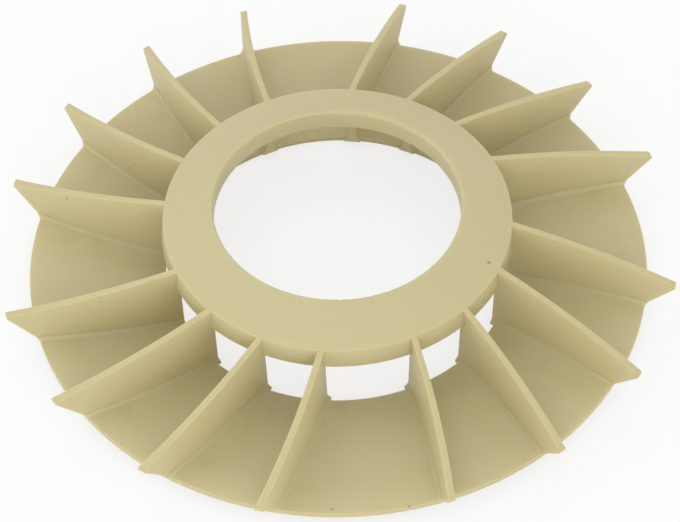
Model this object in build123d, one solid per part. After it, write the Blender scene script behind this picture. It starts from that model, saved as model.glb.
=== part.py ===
from build123d import *
import os
from math import atan2, cos, degrees, radians, sin, sqrt

# Cooling fan wheel of a small scooter engine, moulded in one piece of cream nylon.
# An open ring stands over a thin dished disc. Curved upright blades join the two,
# run out over the disc and end in fins that reach past its rim.
# Millimetres, +Z up, the origin on the wheel's axis in the plane it rests on.

# Disc
window_radius = 38.6
disc_width = 30.0
disc_thick = 1.4
disc_dish = 2.0
rest_width = 4.0

# Ring over the disc
bore_radius = 27.0
window_height = 11.75
skirt_height = 4.55
skirt_draft = 0.5
crown_rise = 3.8
crown_bulge = 0.35
collar_depth = 4.7
ring_wall = 2.0
edge_round = 0.5

# Blades
tip_overhang = 6.4
tip_rise = 8.0
tip_round = 0.5
foot_thick = 2.1
top_thick = 1.1
foot_blend = 0.8
sweep_angle = 7.4
blade_bow = 1.0
group_count = 4
blades_per_group = 4
blade_step = 20.0
first_tip_angle = 76.7

# Sizes that follow from the ones above
disc_radius = window_radius + disc_width
rim_top = disc_dish + disc_thick
skirt_bottom = disc_thick + window_height
break_z = skirt_bottom + skirt_height
break_radius = window_radius - skirt_draft
fan_height = break_z + crown_rise
tip_radius = disc_radius + tip_overhang
tip_z = rim_top + tip_rise
blade_start = window_radius - ring_wall / 2


def polar(radius, angle):
    return Vector(radius * cos(radians(angle)), radius * sin(radians(angle)))


def turned(face):
    """Solid of revolution about Z from a flat section of radius along X and height along Y."""
    return revolve(Plane.XZ * face, Axis.Z)


def make_disc():
    """Thin disc that rises towards its rim, flat below where it rests."""
    outline = Polyline(
        (window_radius, 0),
        (window_radius + rest_width, 0),
        (disc_radius, disc_dish),
        (disc_radius, rim_top),
        (window_radius, disc_thick),
        close=True,
    )
    return turned(make_face(outline))


def make_ring():
    """Sloping crown with a short collar inside and a steep skirt outside."""
    slope = -crown_rise / (break_radius - bore_radius)
    drop = ring_wall * sqrt(1 + slope ** 2)

    def under(radius):
        return fan_height + slope * (radius - bore_radius) - drop

    top_in = (bore_radius, fan_height)
    top_out = (break_radius, break_z)
    middle = ((bore_radius + break_radius) / 2, (fan_height + break_z) / 2 + crown_bulge)
    skirt_in = break_radius - ring_wall
    collar_out = bore_radius + ring_wall
    crown = ThreePointArc(top_in, middle, top_out)
    rest = Polyline(
        top_out,
        (window_radius, skirt_bottom),
        (window_radius - ring_wall, skirt_bottom),
        (skirt_in, under(skirt_in)),
        (collar_out, under(collar_out)),
        (collar_out, fan_height - collar_depth),
        (bore_radius, fan_height - collar_depth),
        top_in,
    )
    section = make_face(crown + rest)
    corners = section.vertices().sort_by(Axis.Y)[-1:]
    corners += section.vertices().filter_by_position(Axis.Y, break_z, break_z)
    return turned(fillet(corners, edge_round))


def blade_line():
    """Start, middle and end of the blade's centre line in plan, bowed to one side."""
    start = polar(blade_start, sweep_angle)
    end = polar(tip_radius, 0)
    chord = end - start
    side = Vector(-chord.Y, chord.X).normalized()
    middle = (start + end) * 0.5 + side * blade_bow
    return start, middle, end


def blade_strip(z, thick):
    """Plan section of a blade at one height: a bowed strip of the given thickness."""
    start, middle, end = blade_line()
    side = Vector(-(end - start).Y, (end - start).X).normalized() * (thick / 2)
    reach = (end - start).normalized() * tip_overhang / 2
    back = start - reach * 0.2
    front = end + reach
    left = ThreePointArc(back + side, middle + side, front + side)
    right = ThreePointArc(front - side, middle - side, back - side)
    ends = Line(left @ 1, right @ 0) + Line(right @ 1, left @ 0)
    return Plane.XY.offset(z) * make_face(left + right + ends)


def blade_envelope():
    """Turned shape that trims a blade: sloping top edge and undercut outer end."""
    slope = (tip_z - break_z) / (tip_radius - break_radius)
    top_start = break_z + slope * (blade_start - break_radius)
    outline = Polyline(
        (blade_start, disc_thick / 2),
        (disc_radius, disc_dish + disc_thick / 2),
        (disc_radius, rim_top),
        (tip_radius, tip_z),
        (blade_start, top_start),
        close=True,
    )
    section = make_face(outline)
    tip = section.vertices().sort_by(Axis.X)[-1]
    return turned(fillet(tip, tip_round))


def foot_strip(lift, thick):
    """Blade section parallel to the disc's rising top, at a height above it."""
    rise = degrees(atan2(disc_dish, disc_width))
    hinge = Pos(window_radius, 0, disc_thick + lift) * Rot(0, -rise, 0)
    return hinge * Pos(-window_radius, 0, 0) * blade_strip(0, thick)


def make_blade():
    """Upright curved plate, thinner towards its top, with a flared foot on the disc."""
    foot = blade_strip(0, foot_thick)
    top = blade_strip(fan_height, top_thick)
    plate = loft([foot, top], ruled=True)
    wide = foot_thick + 2 * foot_blend
    flare = loft(
        [
            foot_strip(-disc_thick / 2, wide),
            foot_strip(0, wide),
            foot_strip(foot_blend / 3, foot_thick + foot_blend),
            foot_strip(foot_blend, foot_thick),
        ],
        ruled=True,
    )
    return (plate + flare) & blade_envelope()


def blade_angles():
    """Tip angle of every blade: even steps in a group, a wider gap between groups."""
    group_step = 360 / group_count
    angles = []
    for group in range(group_count):
        for blade in range(blades_per_group):
            angles.append(first_tip_angle - group * group_step - blade * blade_step)
    return angles


def make_fan():
    blade = make_blade()
    blades = [Rot(0, 0, angle) * blade for angle in blade_angles()]
    return make_disc().fuse(make_ring(), *blades)


fan_wheel = make_fan()
os.makedirs("parts", exist_ok=True)
export_step(fan_wheel, "parts/fan_wheel.step")
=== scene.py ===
from math import cos, radians, sin

import bpy
from mathutils import Matrix, Vector

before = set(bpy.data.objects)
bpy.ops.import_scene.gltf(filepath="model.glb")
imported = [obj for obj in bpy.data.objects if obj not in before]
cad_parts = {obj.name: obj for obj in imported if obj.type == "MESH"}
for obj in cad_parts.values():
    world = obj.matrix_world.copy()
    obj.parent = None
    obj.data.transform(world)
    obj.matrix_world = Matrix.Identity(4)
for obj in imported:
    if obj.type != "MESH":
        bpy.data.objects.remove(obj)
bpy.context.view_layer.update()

# Cooling fan wheel of a scooter engine, moulded in cream nylon that has yellowed a little.
# The wheel keeps its modelled shape; this script gives it the plastic's look, light and camera.

# Camera, fitted to the wheel's outline in the photograph. Lengths in metres.
FOCAL_PIXELS = 2187.3
IMAGE_WIDTH = 680
SENSOR_WIDTH = 36.0
DISTANCE = 0.48927
ELEVATION = radians(49.817)
ROLL = radians(-1.027)
SIDE_OFFSET = -0.000411
RISE_OFFSET = 0.000254
FIT_HEIGHT = 0.002

# Plastic, linear colour
NYLON = (0.515, 0.445, 0.215)
# Warm tone: used for the random cloudy tint and as the colour of the painted shade in corners
NYLON_WARM_TONE_AND_SHADE = (0.470, 0.375, 0.140)
NYLON_PALE = (0.600, 0.545, 0.340)
SPECK = (0.10, 0.07, 0.04)
SHADE_REACH = 0.016
SHADE_SHARE = 0.6
EDGE_REACH = 0.0012
EDGE_SHARE = 0.55
SPECK_SHARE = 0.6
CLOUD_SCALE = 28.0
SPECK_SCALE = 420.0
GLOSS_SCALE = 90.0
GRAIN_SCALE = 1400.0
WAVE_SCALE = 110.0
GRAIN_DEPTH = 0.0003
GRAIN_STRENGTH = 0.10

# Edge rounding
WELD_DISTANCE = 0.000002
ROUNDING = 0.0004
SHARP_ANGLE = radians(35)

# Floor and light: each lamp's place, size and power

FLOOR_SIZE = 6.0
FLOOR_COLOUR = (0.90, 0.90, 0.90)
FLOOR_WHITE_SHARE = 0.72
SKY_STRENGTH = 0.86
LAMPS = {
    "key_lamp": ((-0.25, 0.45, 0.75), 0.7, 0.7),
    "front_fill": ((0.15, -0.80, 0.30), 0.7, 2.4),
    "left_fill": ((-0.80, -0.15, 0.25), 0.6, 1.3),
}


def new_material(name):
    """An empty node material with its output and a principled shader."""
    material = bpy.data.materials.new(name)
    material.use_nodes = True
    nodes = material.node_tree.nodes
    nodes.clear()
    output = nodes.new("ShaderNodeOutputMaterial")
    shader = nodes.new("ShaderNodeBsdfPrincipled")
    material.node_tree.links.new(shader.outputs[0], output.inputs[0])
    return material, shader, output


def noise_value(tree, coordinates, scale, detail, roughness=0.5):
    """Noise of a given scale on object coordinates."""
    noise = tree.nodes.new("ShaderNodeTexNoise")
    noise.inputs["Scale"].default_value = scale
    noise.inputs["Detail"].default_value = detail
    noise.inputs["Roughness"].default_value = roughness
    tree.links.new(coordinates, noise.inputs["Vector"])
    return noise.outputs["Fac"]


def remap(tree, value, low, high, to_low=0.0, to_high=1.0):
    """Linear, clamped change of range."""
    node = tree.nodes.new("ShaderNodeMapRange")
    node.inputs["From Min"].default_value = low
    node.inputs["From Max"].default_value = high
    node.inputs["To Min"].default_value = to_low
    node.inputs["To Max"].default_value = to_high
    tree.links.new(value, node.inputs["Value"])
    return node.outputs["Result"]


def blend_colours(tree, factor, first, second):
    """Mix of two colours, each a socket or an (r, g, b)."""
    node = tree.nodes.new("ShaderNodeMix")
    node.data_type = "RGBA"
    tree.links.new(factor, node.inputs[0])
    for socket, colour in ((node.inputs[6], first), (node.inputs[7], second)):
        if isinstance(colour, tuple):
            socket.default_value = (*colour, 1.0)
        else:
            tree.links.new(colour, socket)
    return node.outputs[2]


def math_node(tree, operation, first, second):
    """Arithmetic on a socket with a socket or a number."""
    node = tree.nodes.new("ShaderNodeMath")
    node.operation = operation
    for socket, value in ((node.inputs[0], first), (node.inputs[1], second)):
        if isinstance(value, (int, float)):
            socket.default_value = value
        else:
            tree.links.new(value, socket)
    return node.outputs[0]


def moulded_nylon():
    """Satin cream nylon: cloudy tint, painted shade (warmer and darker) in corners, paler edges, a
    few dark specks, fine grain.
    """
    material, shader, output = new_material("moulded_nylon")
    tree = material.node_tree
    place = tree.nodes.new("ShaderNodeTexCoord").outputs["Object"]

    half_warm = tuple(0.5 * (a + b) for a, b in zip(NYLON, NYLON_WARM_TONE_AND_SHADE))
    cloud = remap(tree, noise_value(tree, place, CLOUD_SCALE, 3.0), 0.3, 0.7)
    colour = blend_colours(tree, cloud, NYLON, half_warm)

    # Painted shade: ambient occlusion finds corners and recesses, and their colour is darkened
    # towards the warm nylon tone
    corner = tree.nodes.new("ShaderNodeAmbientOcclusion")
    corner.inputs["Distance"].default_value = SHADE_REACH
    corner.samples = 4
    painted_shade_mask = remap(tree, corner.outputs["AO"], 0.35, 0.95, 1.0, 0.0)
    colour = blend_colours(tree, math_node(tree, "MULTIPLY", painted_shade_mask, SHADE_SHARE), colour, NYLON_WARM_TONE_AND_SHADE)

    edge = tree.nodes.new("ShaderNodeAmbientOcclusion")
    edge.inside = True
    edge.inputs["Distance"].default_value = EDGE_REACH
    edge.samples = 4
    thin = remap(tree, edge.outputs["AO"], 0.25, 0.75, 0.0, 1.0)
    colour = blend_colours(tree, math_node(tree, "MULTIPLY", thin, EDGE_SHARE), colour, NYLON_PALE)

    speck = remap(tree, noise_value(tree, place, SPECK_SCALE, 1.0), 0.80, 0.83)
    colour = blend_colours(tree, math_node(tree, "MULTIPLY", speck, SPECK_SHARE), colour, SPECK)
    tree.links.new(colour, shader.inputs["Base Color"])

    gloss = remap(tree, noise_value(tree, place, GLOSS_SCALE, 4.0), 0.3, 0.7, 0.40, 0.52)
    tree.links.new(gloss, shader.inputs["Roughness"])
    shader.inputs["Specular IOR Level"].default_value = 0.45
    shader.inputs["IOR"].default_value = 1.53
    shader.inputs["Subsurface Weight"].default_value = 0.35
    shader.inputs["Subsurface Radius"].default_value = (1.0, 0.8, 0.5)
    shader.inputs["Subsurface Scale"].default_value = 0.003

    grain = noise_value(tree, place, GRAIN_SCALE, 2.0)
    wave = noise_value(tree, place, WAVE_SCALE, 2.0)
    height = math_node(tree, "ADD", grain, wave)
    bump = tree.nodes.new("ShaderNodeBump")
    bump.inputs["Strength"].default_value = GRAIN_STRENGTH
    bump.inputs["Distance"].default_value = GRAIN_DEPTH
    tree.links.new(height, bump.inputs["Height"])
    tree.links.new(bump.outputs[0], shader.inputs["Normal"])
    return material


def dress_wheel():
    """Gives the wheel its plastic, and slightly rounded edges."""
    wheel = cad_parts["fan_wheel"]
    plastic = moulded_nylon()
    if wheel.material_slots:
        for part_slot in wheel.material_slots:
            part_slot.material = plastic
    else:
        wheel.data.materials.append(plastic)
    weld = wheel.modifiers.new("weld", "WELD")
    weld.merge_threshold = WELD_DISTANCE
    soften = wheel.modifiers.new("soft_edges", "BEVEL")
    soften.width = ROUNDING
    soften.segments = 2
    soften.limit_method = "ANGLE"
    soften.angle_limit = SHARP_ANGLE
    soften.harden_normals = False


def make_floor():
    """Wide pale floor that reads white to the camera away from the wheel's shadow."""
    half = FLOOR_SIZE / 2
    mesh = bpy.data.meshes.new("floor")
    corners = [(-half, -half, 0), (half, -half, 0), (half, half, 0), (-half, half, 0)]
    mesh.from_pydata(corners, [], [(0, 1, 2, 3)])
    floor = bpy.data.objects.new("floor", mesh)
    bpy.context.collection.objects.link(floor)
    material, shader, output = new_material("white_floor")
    tree = material.node_tree
    shader.inputs["Base Color"].default_value = (*FLOOR_COLOUR, 1.0)
    shader.inputs["Roughness"].default_value = 0.9
    glow = tree.nodes.new("ShaderNodeEmission")
    glow.inputs["Color"].default_value = (1.0, 1.0, 1.0, 1.0)
    glow.inputs["Strength"].default_value = 1.0
    path = tree.nodes.new("ShaderNodeLightPath")
    seen = math_node(tree, "ADD", path.outputs["Is Camera Ray"], path.outputs["Is Glossy Ray"])
    seen = math_node(tree, "ADD", seen, path.outputs["Is Transmission Ray"])
    share = math_node(tree, "MULTIPLY", seen, FLOOR_WHITE_SHARE)
    mix = tree.nodes.new("ShaderNodeMixShader")
    tree.links.new(share, mix.inputs[0])
    tree.links.new(shader.outputs[0], mix.inputs[1])
    tree.links.new(glow.outputs[0], mix.inputs[2])
    tree.links.new(mix.outputs[0], output.inputs[0])
    floor.data.materials.append(material)


def make_lamp(name, place, aim, size, power):
    """Square soft lamp that points from its place to its aim."""
    lamp = bpy.data.lights.new(name, "AREA")
    lamp.size = size
    lamp.energy = power
    holder = bpy.data.objects.new(name, lamp)
    holder.location = place
    holder.rotation_euler = (Vector(aim) - Vector(place)).to_track_quat("-Z", "Y").to_euler()
    bpy.context.collection.objects.link(holder)


def make_light():
    world = bpy.data.worlds.new("studio")
    bpy.context.scene.world = world
    world.use_nodes = True
    background = world.node_tree.nodes["Background"]
    background.inputs["Color"].default_value = (1.0, 1.0, 1.0, 1.0)
    background.inputs["Strength"].default_value = SKY_STRENGTH
    for name, (place, size, power) in LAMPS.items():
        make_lamp(name, place, (0, 0, 0), size, power)


def make_camera():
    """Camera with the place, turn and lens that were fitted to the photograph."""
    forward = Vector((0, cos(ELEVATION), -sin(ELEVATION)))
    level_right = Vector((1, 0, 0))
    level_up = level_right.cross(forward)
    right = cos(ROLL) * level_right + sin(ROLL) * level_up
    up = -sin(ROLL) * level_right + cos(ROLL) * level_up
    target = Vector((0, 0, FIT_HEIGHT))
    place = target - forward * DISTANCE - right * SIDE_OFFSET - up * RISE_OFFSET
    camera = bpy.data.cameras.new("camera")
    camera.sensor_width = SENSOR_WIDTH
    camera.lens = FOCAL_PIXELS * SENSOR_WIDTH / IMAGE_WIDTH
    holder = bpy.data.objects.new("camera", camera)
    turn = Matrix((right, up, -forward)).transposed().to_4x4()
    holder.matrix_world = Matrix.Translation(place) @ turn
    bpy.context.collection.objects.link(holder)
    bpy.context.scene.camera = holder


dress_wheel()
make_floor()
make_light()
make_camera()
bpy.context.scene.view_settings.view_transform = "Standard"

bpy.context.view_layer.update()
